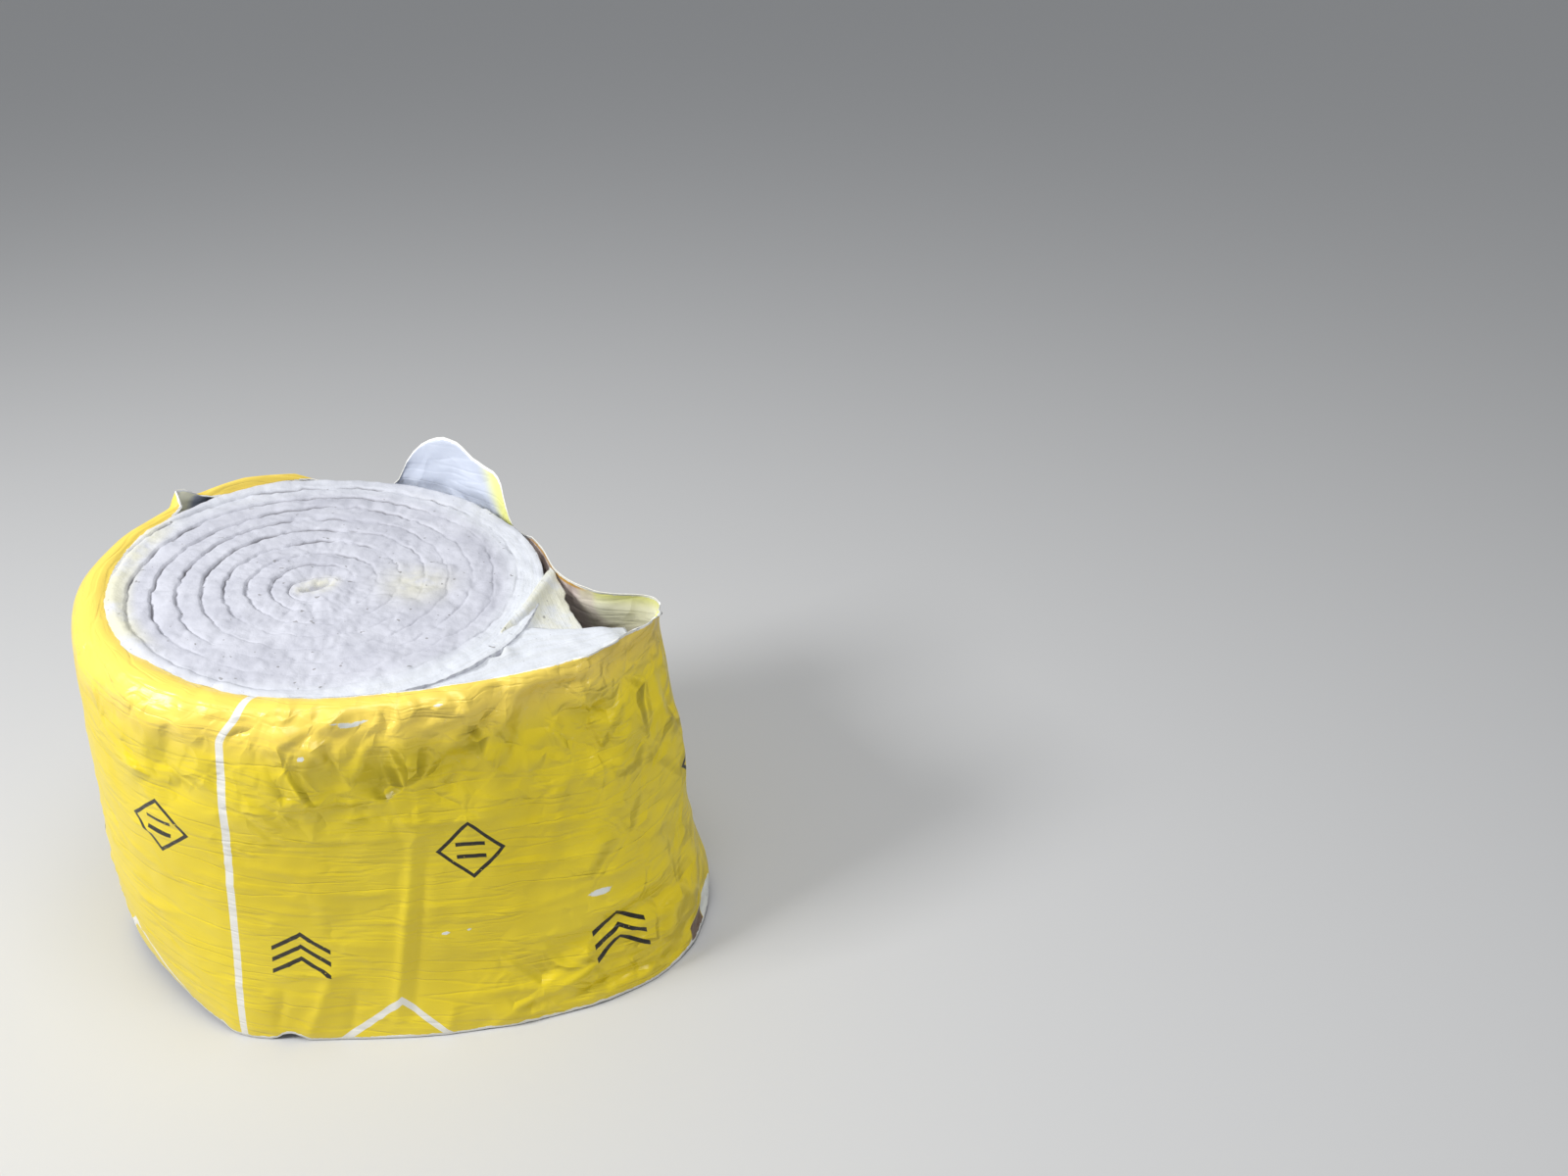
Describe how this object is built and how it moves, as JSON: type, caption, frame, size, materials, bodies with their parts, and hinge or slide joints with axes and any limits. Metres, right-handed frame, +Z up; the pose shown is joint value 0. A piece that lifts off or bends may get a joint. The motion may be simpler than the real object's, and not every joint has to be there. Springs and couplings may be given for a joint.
{
  "type": "insulation roll",
  "caption": "Sawn-off part of a glass wool insulation roll, standing on end in its loose polythene film wrap.",
  "frame": {"origin": "middle of the roll's sawn end, on the floor", "axes": "+Z up, and +X from the roll towards the film's loose corner; the roll leans 6.5 degrees towards the corner because its cut is out of square"},
  "size_m": [0.659, 0.4861, 0.4687],
  "materials": {
    "glass_wool": "matte",
    "film": "satin"
  },
  "bodies": {
    "root": {"wool_blanket": "glass_wool", "film_wrap": "film"}
  },
  "joints": []
}
